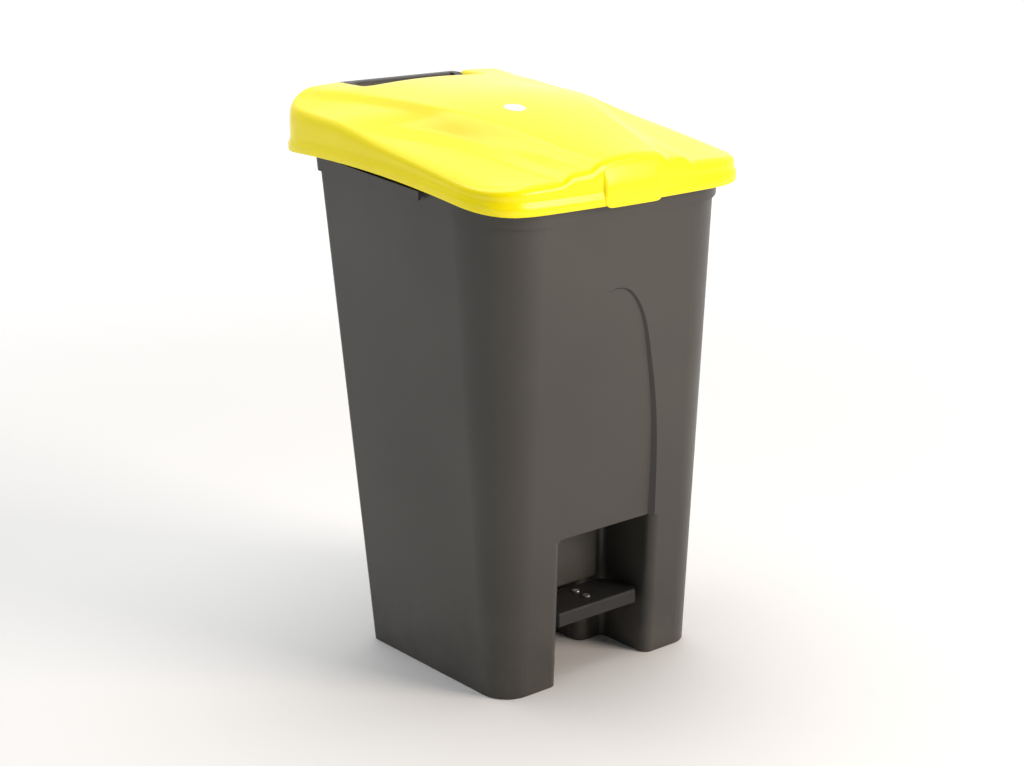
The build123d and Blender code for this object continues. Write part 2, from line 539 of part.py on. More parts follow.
def make_wheel(side):
    """Moulded hub with a web, rim and spokes."""
    x0, x1 = WHEEL_X - WHEEL_W / 2, WHEEL_X + WHEEL_W / 2
    rim_r = WHEEL_R - TYRE_THICK
    hub = rod_x(x0 - 1.5, x1 + 1.5, WHEEL_Y, WHEEL_R, 11.0)
    rim = ring(x0 + 1, x1 - 1, WHEEL_Y, WHEEL_R, rim_r, rim_r - 4.5)
    web = rod_x(WHEEL_X - 2, WHEEL_X + 2, WHEEL_Y, WHEEL_R, rim_r - 2)
    wheel = hub + rim + web
    for k in range(6):
        spoke = block(x0 + 3, x1 - 3, -1.75, 1.75, 9, rim_r - 3)
        wheel = wheel + Pos(0, WHEEL_Y, WHEEL_R) * Rot(60 * k, 0, 0) * spoke
    wheel = wheel - rod_x(x0 - 5, x1 + 5, WHEEL_Y, WHEEL_R, AXLE_R + RUN)
    return wheel if side > 0 else mirror(wheel, Plane.YZ)


def make_tyre(side):
    """Solid tread ring with rounded shoulders and a shallow groove."""
    x0, x1 = WHEEL_X - WHEEL_W / 2, WHEEL_X + WHEEL_W / 2
    tyre = rod_x(x0, x1, WHEEL_Y, WHEEL_R, WHEEL_R)
    tyre = fillet(tyre.edges().filter_by(GeomType.CIRCLE), 5.0)
    tyre = tyre - rod_x(x0 - 1, x1 + 1, WHEEL_Y, WHEEL_R, WHEEL_R - TYRE_THICK)
    for x in (WHEEL_X - 5, WHEEL_X + 5):
        tyre = tyre - ring(x - 1, x + 1, WHEEL_Y, WHEEL_R, WHEEL_R + 1, WHEEL_R - 1.5)
    return tyre if side > 0 else mirror(tyre, Plane.YZ)


def save(name, shape):
    """Write one node, which may be several separate solids."""
    if isinstance(shape, list):
        shape = Compound(children=[solid for piece in shape for solid in piece.solids()])
    export_step(shape, f"parts/{name}.step")


def main():
    os.makedirs("parts", exist_ok=True)
    save("body", make_body())
    save("rear_handle", make_rear_handle())
    save("handle_screws", make_handle_screws())
    save("lid", make_lid())
    save("lid_label", make_lid_label())
    save("hinge_pin_clips", make_hinge_pin_clips())
    save("pedal", make_pedal())
    save("pedal_lever", make_pedal_lever())
    save("pedal_screws", make_pedal_screws())
    save("pedal_pivot_pin", make_pivot_pin())
    save("pedal_pin_clip", make_pivot_clip())
    save("push_rod", make_push_rod())
    save("rod_low_clips", make_rod_low_clips())
    save("rod_high_clip", make_rod_high_clip())
    save("rod_guide_lower", make_rod_guide(GUIDE_HEIGHTS[0]))
    save("rod_guide_upper", make_rod_guide(GUIDE_HEIGHTS[1]))
    save("guide_screws", make_guide_screws())
    for name, side in (("left", -1), ("right", 1)):
        save(f"hinge_pin_{name}", make_hinge_pin(side))
        save(f"stub_axle_{name}", make_axle(side))
        save(f"axle_cap_{name}", make_axle_cap(side))
        save(f"wheel_{name}", make_wheel(side))
        save(f"tyre_{name}", make_tyre(side))


main()
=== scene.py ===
import json
import math

import bpy
import bmesh
from mathutils import Matrix, Vector

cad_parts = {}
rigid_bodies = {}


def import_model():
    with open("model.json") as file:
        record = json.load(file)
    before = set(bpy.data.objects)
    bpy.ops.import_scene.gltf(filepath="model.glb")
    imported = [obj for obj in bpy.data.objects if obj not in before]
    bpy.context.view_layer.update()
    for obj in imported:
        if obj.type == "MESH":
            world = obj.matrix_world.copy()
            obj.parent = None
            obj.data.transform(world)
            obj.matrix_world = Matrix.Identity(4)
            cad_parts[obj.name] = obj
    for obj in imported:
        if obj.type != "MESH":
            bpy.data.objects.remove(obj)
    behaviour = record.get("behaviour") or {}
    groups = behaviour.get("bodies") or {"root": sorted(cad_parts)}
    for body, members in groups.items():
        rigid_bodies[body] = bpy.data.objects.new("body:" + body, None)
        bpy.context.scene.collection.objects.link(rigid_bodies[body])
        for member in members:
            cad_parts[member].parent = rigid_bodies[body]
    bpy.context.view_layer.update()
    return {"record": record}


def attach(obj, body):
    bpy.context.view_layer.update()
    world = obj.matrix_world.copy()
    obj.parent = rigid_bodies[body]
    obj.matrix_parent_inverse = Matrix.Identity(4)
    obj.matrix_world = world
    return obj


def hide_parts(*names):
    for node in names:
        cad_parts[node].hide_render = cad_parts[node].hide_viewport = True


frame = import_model()
MM = 0.001

# ---------------------------------------------------------------- view
AZIMUTH, ELEVATION = math.radians(-39.9), math.radians(15.9)
DISTANCE = 2.5205
TARGET = Vector((0.0, -0.015, 0.350))
LENS = 68.6
SHIFT = (-0.0028, -0.0063)

# ---------------------------------------------------------------- lid sizes, in millimetres
HALF_W, FRONT, REAR = 208.0, -227.0, 220.0
BOW = 3.5
R_FRONT, R_REAR = 55.0, 60.0
EDGE_ROUND = 6.0
NOTCH_HALF_W, NOTCH_Y = 98.0, 163.0
BEAD, BEAD_H, BEAD_FOLD = 3.0, 13.0, 1.2
SKIN = 3.0
TAB_HALF_W, TAB_FRONT, TAB_LOW_Z = 46.0, -234.8, 604.5
TAB_TOP_BAND, TAB_LOW_BAND = 4.5, 3.0
# The lower edge is a parabola in the distance behind the front edge: its front height, rise, fall and span.
EDGE_FRONT_Z, EDGE_RISE, EDGE_FALL, EDGE_SPAN = 611.0, 74.0, 46.0, 435.0
# One row per station: y, crown z, inner ridge (top x, foot x, top z), outer ridge (same), edge z.
STATIONS = [
    (-245, 663, (43, 55, 659), (87, 99, 651), 642),
    (-185, 675, (60, 77, 671), (100, 116, 659), 645),
    (-130, 688, (72, 87, 684), (107, 127, 668), 654),
    (-75, 701, (88, 101, 696), (117, 139, 676), 663),
    (-15, 712, (108, 121, 706), (134, 166, 682), 671),
    (35, 716.5, (112, 125, 708), (168, 205, 687), 678),
    (80, 718.5, (116, 131, 708.5), (206, 240, 688), 686),
    (130, 720, (126, 144, 710), (222, 252, 688), 688),
    (175, 719.5, (146, 168, 712), (228, 255, 690), 690),
    (230, 716, (164, 184, 714), (232, 258, 694), 694),
]
RIDGE_DROP = (8.5, 8.0)
LABEL_AT, LABEL_R, LABEL_THICK = (-31.0, -52.0), 13.6, 0.25
# Distance of each cage row behind the front edge, or in front of the rear edge.
FRONT_ROWS = (0, 5, 14, 28, 50, 78, 112, 150, 190, 230, 268, 304, 336, 364)
REAR_ROWS = (57, 42, 27, 13, 4, 0)
# Cage columns just before and after a ridge's top edge, and just before and after its foot.
TOP_GAPS, FOOT_GAPS = (-2.5, 1.0), (-1.0, 3.0)
COLUMNS, COLUMN_STEP = 15, 4.0
INNER_COLUMNS = (0.0, 0.33, 0.66)
# Boxes that hold the lugs under the CAD lid: lowest and highest corner.
LUG_BOXES = {
    "hinge_lug_left": ((-131, 166, 676), (-98.5, 204, 707)),
    "hinge_lug_right": ((98.5, 166, 676), (131, 204, 707)),
    "crank_lug": ((-14, 163.5, 655), (-5, 192, 704)),
}

# ---------------------------------------------------------------- light
AIM = (0.0, 0.0, 0.4)
# Each softbox: name, place, width and height, watts, colour.
SOFTBOXES = (
    ("cool_left", (-2.6, -0.4, 1.3), (1.6, 2.0), 6, (0.72, 0.86, 1.0)),
    ("warm_right", (1.6, -3.0, 1.7), (1.5, 1.6), 92, (1.0, 0.86, 0.74)),
    ("soft_top", (0.1, 0.3, 3.0), (2.2, 2.2), 42, (1.0, 0.98, 0.95)),
)
# The sky is brightest behind the bin, towards BRIGHT_SKY, and dimmest opposite.
BRIGHT_SKY = (0.62, 0.76, 0.2)
SKY_DIM, SKY_BRIGHT = 0.16, 1.0
FLOOR_SIZE, FLOOR_GREY, FLOOR_GLOW = 60, 0.86, 0.5


# ---------------------------------------------------------------- edit-mode helpers
def start(name):
    """Names the primitive just added and opens it in edit mode."""
    piece = bpy.context.object
    piece.name = piece.data.name = name
    bpy.ops.object.mode_set(mode="EDIT")
    bpy.ops.mesh.select_all(action="DESELECT")
    return piece


def select_only(piece):
    """Makes one piece active and the only one selected."""
    bpy.ops.object.select_all(action="DESELECT")
    piece.select_set(True)
    bpy.context.view_layer.objects.active = piece


def reopen(piece):
    """Opens one piece in edit mode with nothing selected."""
    select_only(piece)
    bpy.ops.object.mode_set(mode="EDIT")
    bpy.ops.mesh.select_all(action="DESELECT")


def done():
    """Leaves edit mode with nothing selected."""
    bpy.ops.object.mode_set(mode="OBJECT")
    bpy.ops.object.select_all(action="DESELECT")


def cage():
    """The mesh that is open in edit mode."""
    return bmesh.from_edit_mesh(bpy.context.object.data)


def pick(kind, test):
    """Selects the vertices, edges or faces that pass a test on their middle and normal."""
    bpy.ops.mesh.select_all(action="DESELECT")
    bpy.ops.mesh.select_mode(type={"verts": "VERT", "edges": "EDGE", "faces": "FACE"}[kind])
    mesh = cage()
    for element in getattr(mesh, kind):
        if test(element):
            element.select_set(True)
    bmesh.update_edit_mesh(bpy.context.object.data)


def shift_vertex(index, place):
    """Moves one vertex to a place given in millimetres."""
    bpy.ops.mesh.select_all(action="DESELECT")
    mesh = cage()
    mesh.verts.ensure_lookup_table()
    vertex = mesh.verts[index]
    step = Vector(place) * MM - vertex.co
    vertex.select_set(True)
    bpy.ops.transform.translate(value=step)


def apply(piece, kind, **settings):
    """Adds one modifier with its settings and applies it."""
    modifier = piece.modifiers.new(kind.title(), kind)
    for key, value in settings.items():
        setattr(modifier, key, value)
    select_only(piece)
    bpy.ops.object.modifier_apply(modifier=modifier.name)
    bpy.ops.object.select_all(action="DESELECT")


def settle(piece, angle=35):
    """Applies the piece's place to its mesh and gives it smooth shading with sharp edges kept."""
    select_only(piece)
    bpy.ops.object.transform_apply(location=True, rotation=True, scale=True)
    bpy.ops.object.shade_smooth_by_angle(angle=math.radians(angle))
    bpy.ops.object.select_all(action="DESELECT")


# ---------------------------------------------------------------- lid
def mix(a, b, t):
    """The value a share t of the way from a to b, also inside tuples."""
    if isinstance(a, tuple):
        return tuple(mix(p, q, t) for p, q in zip(a, b))
    return a + (b - a) * t


def station(y):
    """Lid levels at y, between the two nearest stations."""
    y = min(max(y, STATIONS[0][0]), STATIONS[-1][0] - 0.01)
    k = max(i for i, row in enumerate(STATIONS) if row[0] <= y)
    k = min(k, len(STATIONS) - 2)
    low, high = STATIONS[k], STATIONS[k + 1]
    return mix(low, high, (y - low[0]) / (high[0] - low[0]))


def lid_height(x, y):
    """Height of the lid's upper surface."""
    x = abs(x)
    _, crown, (x1, f1, z1), (x2, f2, z2), edge = station(y)
    foot1, foot2 = z1 - RIDGE_DROP[0], z2 - RIDGE_DROP[1]
    slope = (edge - foot2) / max(HALF_W - f2, 40.0)
    if x <= x1:
        return crown + (z1 - crown) * (x / x1) ** 2
    for (xa, za), (xb, zb) in (((x1, z1), (f1, foot1)), ((f1, foot1), (x2, z2)), ((x2, z2), (f2, foot2))):
        if x <= xb:
            return za + (zb - za) * (x - xa) / (xb - xa)
    return foot2 + slope * (x - f2)


def outline(y):
    """Half width of the lid's plan at y, the corners rounded."""
    front, rear = y - FRONT, REAR - y
    if front < R_FRONT:
        return HALF_W - R_FRONT + math.sqrt(max(R_FRONT ** 2 - (R_FRONT - max(front, 0)) ** 2, 0))
    if rear < R_REAR:
        return HALF_W - R_REAR + math.sqrt(max(R_REAR ** 2 - (R_REAR - max(rear, 0)) ** 2, 0))
    return HALF_W


def row_places():
    """Depth of each cage row, from the front edge to the rear one."""
    rows = [FRONT + d for d in FRONT_ROWS]
    return rows + [REAR - d for d in REAR_ROWS]


def cage_columns(y, limit):
    """Half widths of the cage's columns at one row, crowded together where a ridge meets the edge."""
    _, _, (x1, f1, _), (x2, f2, _), _ = station(y)
    inner = NOTCH_HALF_W
    if y < NOTCH_Y - 20:
        inner = min(inner, 0.62 * x1)
    wish = [share * inner for share in INNER_COLUMNS] + [min(inner, x1 - 9)]
    wish += [x1 + gap for gap in TOP_GAPS] + [f1 + gap for gap in FOOT_GAPS] + [(f1 + x2) / 2]
    wish += [x2 + gap for gap in TOP_GAPS] + [f2 + gap for gap in FOOT_GAPS] + [(f2 + limit) / 2, limit]
    kept = len(INNER_COLUMNS)
    return [min(x, limit - COLUMN_STEP * (COLUMNS - 1 - i)) if i > kept else x for i, x in enumerate(wish)]


def cage_point(row, column):
    """Place of one cage vertex of the right half, an edge rounding inside the lid's outline."""
    y = row_places()[row]
    limit = outline(y)
    front, rear = y - FRONT, REAR - y
    radius = R_FRONT if front < rear else R_REAR
    straight = HALF_W - radius
    if limit < HALF_W:
        limit = straight + (limit - straight) * (radius - EDGE_ROUND) / radius
    else:
        limit = HALF_W - EDGE_ROUND
    x = cage_columns(y, limit)[column]
    if front < R_FRONT:
        y = FRONT + R_FRONT - (R_FRONT - front) * (R_FRONT - EDGE_ROUND) / R_FRONT
        y -= BOW * max(0.0, 1 - (x / (HALF_W - R_FRONT)) ** 2) * (1 - front / R_FRONT)
    elif rear < R_REAR:
        y = REAR - R_REAR + (R_REAR - rear) * (R_REAR - EDGE_ROUND) / R_REAR
    return x, y, lid_height(x, y)


def lower_edge(y):
    """Height of the lid's curved lower edge."""
    u = (y - FRONT) / EDGE_SPAN
    return EDGE_FRONT_Z + EDGE_RISE * u - EDGE_FALL * u * u


def bead_top(place):
    """Height of the top of the rolled bead below a place on the skirt."""
    return lower_edge(place.y) + BEAD_H


def outward(x, y):
    """Direction out of the lid's plan at a point of its boundary."""
    side = 1 if x > 0 else -1
    ax = abs(x)
    if ax < NOTCH_HALF_W + 1.5 and y > NOTCH_Y - 9:
        on_cheek = y > NOTCH_Y + 2
        turns_in = on_cheek or ax > NOTCH_HALF_W - 5
        turns_back = not on_cheek or y > REAR - EDGE_ROUND - 1.5
        return Vector((-side if turns_in else 0, 1 if turns_back else 0, 0))
    corners = ((HALF_W - R_FRONT, FRONT + R_FRONT, -1), (HALF_W - R_REAR, REAR - R_REAR, 1))
    for centre_x, centre_y, way in corners:
        if (y - centre_y) * way > 0:
            if ax > centre_x:
                return Vector((side * (ax - centre_x), y - centre_y, 0)).normalized()
            return Vector((0, way, 0))
    return Vector((side, 0, 0))


def make_lid():
    """The lid: a cage of its right half, mirrored, skirted, given its tab and its wall, and smoothed."""
    across, along = COLUMNS - 1, len(row_places()) - 1
    bpy.ops.object.select_all(action="DESELECT")
    bpy.ops.mesh.primitive_grid_add(x_subdivisions=across, y_subdivisions=along, size=1, location=(0, 0, 0))
    lid = start("lid_cover")
    spots = [(v.index, round((v.co.y + 0.5) * along), round((v.co.x + 0.5) * across)) for v in cage().verts]
    for index, row, column in spots:
        shift_vertex(index, cage_point(row, column))
    # the rear notch, open for the carrying handle
    pick("faces", lambda f: f.calc_center_median().y > (NOTCH_Y - 2) * MM
         and f.calc_center_median().x < (NOTCH_HALF_W - 2) * MM)
    bpy.ops.mesh.delete(type="FACE")
    done()
    apply(lid, "MIRROR", use_axis=(True, False, False), use_clip=True, merge_threshold=0.0005)
    skirt_loops(lid)
    add_tab(lid)
    apply(lid, "SOLIDIFY", thickness=SKIN * MM, offset=-1.0, use_even_offset=False)
    apply(lid, "SUBSURF", levels=2, render_levels=2)
    settle(lid, 60)
    return lid


def skirt_loops(lid):
    """Rounds the top's edge over and draws the skirt down to its rolled bead."""
    reopen(lid)
    # Each loop: how far it steps out, and its height at a point of the loop before it.
    loops = (
        (EDGE_ROUND, lambda p: p.z - EDGE_ROUND),
        (0.0, lambda p: max(bead_top(p) + 5, min(p.z - 5, bead_top(p) + 11))),
        (0.0, lambda p: bead_top(p) + BEAD_FOLD),
        (BEAD, lambda p: bead_top(p) - BEAD_FOLD - 0.3),
        (0.0, lambda p: lower_edge(p.y) + BEAD_FOLD),
        (-1.0, lambda p: lower_edge(p.y)),
    )
    for out, height in loops:
        pick("edges", lambda e: e.is_boundary)
        bpy.ops.mesh.extrude_region_move(TRANSFORM_OT_translate={"value": (0, 0, -0.0001)})
        points = [(v.index, v.co / MM) for v in cage().verts if v.select]
        for index, point in points:
            target = point + outward(point.x, point.y) * out
            shift_vertex(index, (target.x, target.y, height(point)))
    bpy.ops.mesh.select_all(action="SELECT")
    bpy.ops.mesh.normals_make_consistent(inside=False)
    done()


def add_tab(lid):
    """Pulls the middle of the front skirt out into the lifting tab, rounded over at its top."""
    reopen(lid)
    pick("faces", lambda f: abs(f.calc_center_median().x) < TAB_HALF_W * MM
         and f.calc_center_median().y < (FRONT - 0.5) * MM and f.normal.z > -0.6)
    bpy.ops.mesh.extrude_region_move(TRANSFORM_OT_translate={"value": (0, -0.001, 0)})
    chosen = [(v.index, v.co / MM) for v in cage().verts if v.select]
    lowest = min(place.z for _, place in chosen)
    highest = max(place.z for _, place in chosen)
    for index, place in chosen:
        front = TAB_FRONT + (EDGE_ROUND if place.z > highest - TAB_TOP_BAND else 0.0)
        height = TAB_LOW_Z if place.z < lowest + TAB_LOW_BAND else place.z
        shift_vertex(index, (place.x, front, height))
    done()


def make_camera():
    """Camera at the viewing angle, turned round the object and looking slightly down."""
    data = bpy.data.cameras.new("camera")
    camera = bpy.data.objects.new("camera", data)
    bpy.context.scene.collection.objects.link(camera)
    back = Vector((math.sin(AZIMUTH) * math.cos(ELEVATION),
                   -math.cos(AZIMUTH) * math.cos(ELEVATION), math.sin(ELEVATION)))
    right = Vector((math.cos(AZIMUTH), math.sin(AZIMUTH), 0.0))
    up = back.cross(right)
    turn = Matrix((right, up, back)).transposed().to_4x4()
    camera.matrix_world = Matrix.Translation(TARGET + back * DISTANCE) @ turn
    data.lens, data.sensor_width = LENS, 36.0
    data.shift_x, data.shift_y = SHIFT
    bpy.context.scene.camera = camera


def area_light(name, place, size, power, colour):
    """One rectangular softbox turned to the bin."""
    data = bpy.data.lights.new(name, "AREA")
    data.shape = "RECTANGLE"
    data.size, data.size_y = size
    data.energy, data.color = power, colour
    lamp = bpy.data.objects.new(name, data)
    bpy.context.scene.collection.objects.link(lamp)
    lamp.location = place
    lamp.rotation_euler = (Vector(place) - Vector(AIM)).to_track_quat("Z", "Y").to_euler()


def make_studio():
    """Soft light: cool from the left, warm from the right and front, and a bright sky behind the bin."""
    bpy.context.scene.view_settings.view_transform = "Standard"
    for softbox in SOFTBOXES:
        area_light(*softbox)
    make_sky()
    make_floor()


def make_sky():
    """White sky, brightest behind the bin."""
    world = bpy.data.worlds.new("studio")
    world.use_nodes = True
    tree = world.node_tree
    toward = tree.nodes.new("ShaderNodeTexCoord").outputs["Generated"]
    facing = tree.nodes.new("ShaderNodeVectorMath")
    facing.operation = "DOT_PRODUCT"
    facing.inputs[1].default_value = BRIGHT_SKY
    tree.links.new(toward, facing.inputs[0])
    strength = spread(tree, facing.outputs["Value"], -0.35, 0.65, SKY_DIM, SKY_BRIGHT)
    background = tree.nodes["Background"]
    background.inputs["Color"].default_value = (1.0, 1.0, 1.0, 1.0)
    tree.links.new(strength, background.inputs["Strength"])
    bpy.context.scene.world = world


def make_floor():
    """Pale floor that brightens into the sky away from the bin."""
    bpy.ops.mesh.primitive_plane_add(size=FLOOR_SIZE, location=(0, 0, -0.0005))
    floor = bpy.context.object
    floor.name = "floor"
    material = bpy.data.materials.new("pale_floor")
    material.use_nodes = True
    tree = material.node_tree
    shader = tree.nodes["Principled BSDF"]
    shader.inputs["Base Color"].default_value = (FLOOR_GREY, FLOOR_GREY, FLOOR_GREY, 1.0)
    shader.inputs["Roughness"].default_value = 0.8
    reach = tree.nodes.new("ShaderNodeVectorMath")
    reach.operation = "LENGTH"
    tree.links.new(tree.nodes.new("ShaderNodeTexCoord").outputs["Object"], reach.inputs[0])
    shader.inputs["Emission Color"].default_value = (1.0, 1.0, 1.0, 1.0)
    glow = spread(tree, reach.outputs["Value"], 0.7, 3.6, 0.0, FLOOR_GLOW)
    tree.links.new(glow, shader.inputs["Emission Strength"])
    floor.data.materials.append(material)


# ---------------------------------------------------------------- label, hinge lugs
def make_label(lid):
    """Blank round sticker laid on the lid's crown."""
    bpy.ops.object.select_all(action="DESELECT")
    bpy.ops.mesh.primitive_circle_add(vertices=48, radius=LABEL_R * MM, fill_type="TRIFAN",
                                      location=(LABEL_AT[0] * MM, LABEL_AT[1] * MM, 0.80))
    label = start("round_label")
    bpy.ops.mesh.select_all(action="SELECT")
    bpy.ops.mesh.subdivide(number_cuts=2)
    bpy.ops.mesh.tris_convert_to_quads()
    done()
    settle(label)
    wrap = {"target": lid, "wrap_method": "PROJECT", "use_project_z": True, "use_negative_direction": True,
            "use_positive_direction": False, "offset": 0.0001}
    apply(label, "SHRINKWRAP", **wrap)
    apply(label, "SOLIDIFY", thickness=LABEL_THICK * MM, offset=1.0)
    settle(label, 50)
    return label


def cut_copy(name, low, high):
    """The part of the CAD lid between two corners, as a closed piece."""
    source = bpy.data.objects["lid"]
    piece = source.copy()
    piece.data = source.data.copy()
    piece.name = piece.data.name = name
    bpy.context.scene.collection.objects.link(piece)
    reopen(piece)
    bpy.ops.mesh.select_all(action="SELECT")
    bpy.ops.mesh.remove_doubles(threshold=0.00001)
    for axis in range(3):
        for corner, sign in ((low, -1), (high, 1)):
            normal = Vector([sign if k == axis else 0 for k in range(3)])
            point = Vector(corner) * MM
            bpy.ops.mesh.select_all(action="SELECT")
            bpy.ops.mesh.bisect(plane_co=point, plane_no=normal, use_fill=True, clear_outer=True)
    done()
    settle(piece, 30)
    return piece


# ---------------------------------------------------------------- materials
def new_group(name, inputs, outputs):
    """Empty shader node group with named float inputs and outputs."""
    group = bpy.data.node_groups.new(name, "ShaderNodeTree")
    for label, value in inputs:
        socket = group.interface.new_socket(label, in_out="INPUT", socket_type="NodeSocketFloat")
        socket.default_value = value
    for label in outputs:
        group.interface.new_socket(label, in_out="OUTPUT", socket_type="NodeSocketFloat")
    return group, group.nodes.new("NodeGroupInput"), group.nodes.new("NodeGroupOutput")


def noise(tree, vector, scale, detail=3.0, rough=0.55):
    """Noise over a vector, at a scale that is a number or a socket."""
    node = tree.nodes.new("ShaderNodeTexNoise")
    node.inputs["Detail"].default_value = detail
    node.inputs["Roughness"].default_value = rough
    if isinstance(scale, (int, float)):
        node.inputs["Scale"].default_value = scale
    else:
        tree.links.new(scale, node.inputs["Scale"])
    tree.links.new(vector, node.inputs["Vector"])
    return node.outputs["Fac"]


def math_node(tree, operation, a, b, clamp=False):
    """A sum on two values, each a number or a socket."""
    node = tree.nodes.new("ShaderNodeMath")
    node.operation, node.use_clamp = operation, clamp
    for socket, value in zip(node.inputs, (a, b)):
        if isinstance(value, (int, float)):
            socket.default_value = value
        else:
            tree.links.new(value, socket)
    return node.outputs["Value"]


def spread(tree, value, low, high, to_low=0.0, to_high=1.0):
    """Moves a value smoothly from one range to another."""
    node = tree.nodes.new("ShaderNodeMapRange")
    node.interpolation_type = "SMOOTHSTEP"
    for name, number in (("From Min", low), ("From Max", high), ("To Min", to_low), ("To Max", to_high)):
        node.inputs[name].default_value = number
    tree.links.new(value, node.inputs["Value"])
    return node.outputs["Result"]


def stretched(tree, scale, turn=(0.0, 0.0, 0.0)):
    """Object coordinates, stretched and turned for a directional pattern."""
    place = tree.nodes.new("ShaderNodeTexCoord").outputs["Object"]
    mapping = tree.nodes.new("ShaderNodeMapping")
    mapping.inputs["Scale"].default_value = scale
    mapping.inputs["Rotation"].default_value = turn
    tree.links.new(place, mapping.inputs["Vector"])
    return mapping.outputs["Vector"]


def grain_group():
    """Fine moulded texture and the slow waviness of a large moulding."""
    group, given, result = new_group("moulded_grain", [("Grain scale", 1400.0), ("Wave scale", 9.0)],
                                     ["Grain", "Wave"])
    place = group.nodes.new("ShaderNodeTexCoord").outputs["Object"]
    group.links.new(noise(group, place, given.outputs["Grain scale"], 2.0), result.inputs["Grain"])
    group.links.new(noise(group, place, given.outputs["Wave scale"], 2.0, 0.4), result.inputs["Wave"])
    return group


def scuff_group():
    """Fine scratches in two directions, gathered in patches and thicker near the floor."""
    group, given, result = new_group("scuff_marks", [("Amount", 0.5), ("Low height", 0.25)], ["Mask"])
    lines = []
    for scale, turn in (((260, 260, 9), (0.5, 0.9, 0)), ((200, 200, 7), (-0.7, -0.4, 0))):
        streak = noise(group, stretched(group, scale, turn), 1.0, 2.0, 0.5)
        lines.append(spread(group, streak, 0.66, 0.74))
    both = math_node(group, "MAXIMUM", lines[0], lines[1])
    place = group.nodes.new("ShaderNodeTexCoord").outputs["Object"]
    patches = spread(group, noise(group, place, 7.0, 3.0), 0.5, 0.68)
    split = group.nodes.new("ShaderNodeSeparateXYZ")
    group.links.new(place, split.inputs["Vector"])
    height = math_node(group, "DIVIDE", split.outputs["Z"], given.outputs["Low height"])
    low = spread(group, height, 0.0, 1.0, 1.0, 0.25)
    mask = math_node(group, "MULTIPLY", math_node(group, "MULTIPLY", both, patches), low)
    group.links.new(math_node(group, "MULTIPLY", mask, given.outputs["Amount"], True), result.inputs["Mask"])
    return group


def dust_group():
    """Pale dust that lies in cloudy patches, thickest just above the floor."""
    group, given, result = new_group("floor_dust", [("Amount", 0.4), ("Height", 0.12)], ["Mask"])
    place = group.nodes.new("ShaderNodeTexCoord").outputs["Object"]
    split = group.nodes.new("ShaderNodeSeparateXYZ")
    group.links.new(place, split.inputs["Vector"])
    height = math_node(group, "DIVIDE", split.outputs["Z"], given.outputs["Height"])
    low = spread(group, height, 0.0, 1.0, 1.0, 0.08)
    cloud = spread(group, noise(group, place, 14.0, 4.0, 0.6), 0.35, 0.75)
    mask = math_node(group, "MULTIPLY", low, cloud)
    group.links.new(math_node(group, "MULTIPLY", mask, given.outputs["Amount"], True), result.inputs["Mask"])
    return group


class Finish:
    """One material: a Principled shader, its colours mixed by masks and its height from several patterns."""

    def __init__(self, name, colour, rough):
        self.material = bpy.data.materials.new(name)
        self.material.use_nodes = True
        self.tree = self.material.node_tree
        self.shader = self.tree.nodes["Principled BSDF"]
        colour_node = self.tree.nodes.new("ShaderNodeRGB")
        colour_node.outputs[0].default_value = colour + (1.0,)
        self.colour = colour_node.outputs[0]
        value = self.tree.nodes.new("ShaderNodeValue")
        value.outputs[0].default_value = rough
        self.rough = value.outputs[0]
        self.height = None

    def group(self, group, **values):
        """Places a shared effect with its own values."""
        node = self.tree.nodes.new("ShaderNodeGroup")
        node.node_tree = group
        for name, value in values.items():
            node.inputs[name.replace("_", " ")].default_value = value
        return node.outputs

    def tint(self, mask, colour, strength=1.0):
        """Mixes another colour in where the mask is high."""
        node = self.tree.nodes.new("ShaderNodeMix")
        node.data_type = "RGBA"
        self.tree.links.new(math_node(self.tree, "MULTIPLY", mask, strength, True), node.inputs["Factor"])
        self.tree.links.new(self.colour, node.inputs[6])
        node.inputs[7].default_value = colour + (1.0,)
        self.colour = node.outputs[2]

    def roughen(self, mask, amount):
        """Adds roughness where the mask is high."""
        step = math_node(self.tree, "MULTIPLY", mask, amount)
        self.rough = math_node(self.tree, "ADD", self.rough, step, True)

    def raise_by(self, mask, amount):
        """Raises the surface by an amount in metres where the mask is high."""
        step = math_node(self.tree, "MULTIPLY", mask, amount)
        self.height = step if self.height is None else math_node(self.tree, "ADD", self.height, step)

    def finish(self, strength=1.0, **sockets):
        """Links what has been gathered to the shader and sets the sockets that are the same all over."""
        self.tree.links.new(self.colour, self.shader.inputs["Base Color"])
        self.tree.links.new(self.rough, self.shader.inputs["Roughness"])
        if self.height is not None:
            bump = self.tree.nodes.new("ShaderNodeBump")
            bump.inputs["Strength"].default_value = strength
            bump.inputs["Distance"].default_value = 1.0
            self.tree.links.new(self.height, bump.inputs["Height"])
            self.tree.links.new(bump.outputs["Normal"], self.shader.inputs["Normal"])
        for name, value in sockets.items():
            self.shader.inputs[name.replace("_", " ")].default_value = value
        return self.material


def bin_plastic(grain, scuffs, dust):
    """Dark satin polypropylene of the container, scuffed low down."""
    look = Finish("container_plastic", (0.050, 0.046, 0.040), 0.36)
    moulded = look.group(grain, Grain_scale=1500.0, Wave_scale=5.0)
    scratch = look.group(scuffs, Amount=0.55, Low_height=0.30)["Mask"]
    film = look.group(dust, Amount=0.35, Height=0.16)["Mask"]
    cloud = spread(look.tree, moulded["Wave"], 0.3, 0.7)
    look.tint(cloud, (0.043, 0.040, 0.035), 0.7)
    look.tint(film, (0.20, 0.19, 0.17), 0.5)
    look.tint(scratch, (0.022, 0.021, 0.020), 0.8)
    look.roughen(cloud, 0.06)
    look.roughen(film, 0.2)
    look.roughen(scratch, 0.12)
    look.raise_by(moulded["Grain"], 0.000012)
    look.raise_by(moulded["Wave"], 0.0006)
    look.raise_by(scratch, -0.00004)
    return look.finish(0.9, Specular_IOR_Level=0.4)


